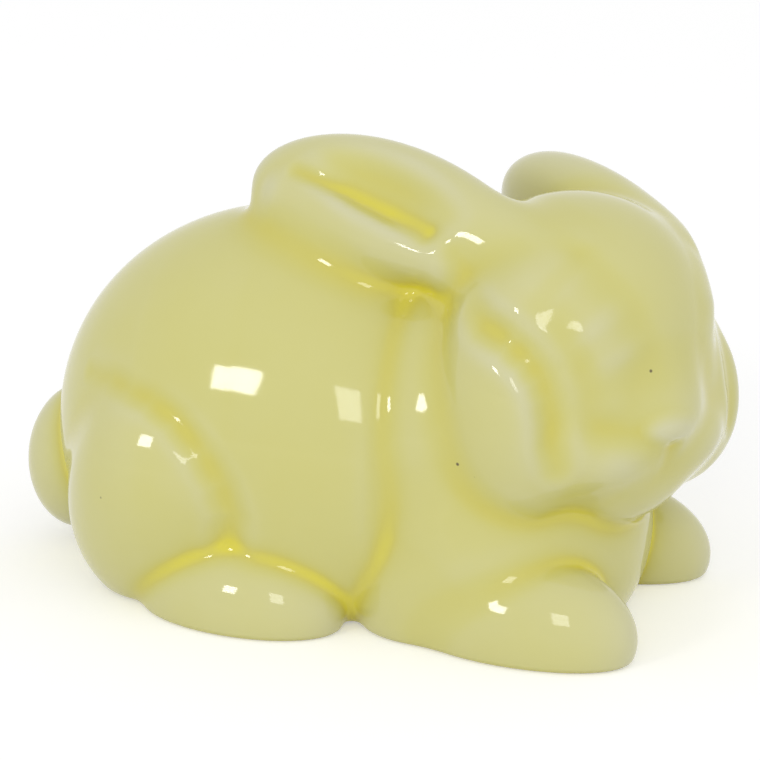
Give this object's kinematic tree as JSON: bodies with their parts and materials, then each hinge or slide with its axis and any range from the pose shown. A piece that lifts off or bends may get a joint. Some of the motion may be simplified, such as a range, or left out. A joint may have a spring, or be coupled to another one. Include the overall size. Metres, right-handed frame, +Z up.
{
  "type": "rabbit figurine",
  "caption": "Crouching glazed ceramic rabbit with its head turned aside and its ears laid back, hollow-cast, standing on a flat base.",
  "frame": {"origin": "middle of the part's box, on the surface that the base stands on", "axes": "+X the way the body points, +Y the rabbit's left, +Z up"},
  "size_m": [0.1321, 0.079, 0.0817],
  "materials": {
    "glaze": "glossy pale yellow glaze, deeper in colour where it pools in the creases"
  },
  "bodies": {
    "root": {"body_shell": "glaze", "head": "glaze", "ear_right": "glaze", "ear_left": "glaze", "forepaw_right": "glaze", "forepaw_left": "glaze", "hind_foot_right": "glaze", "hind_foot_left": "glaze", "tail": "glaze"}
  },
  "joints": []
}
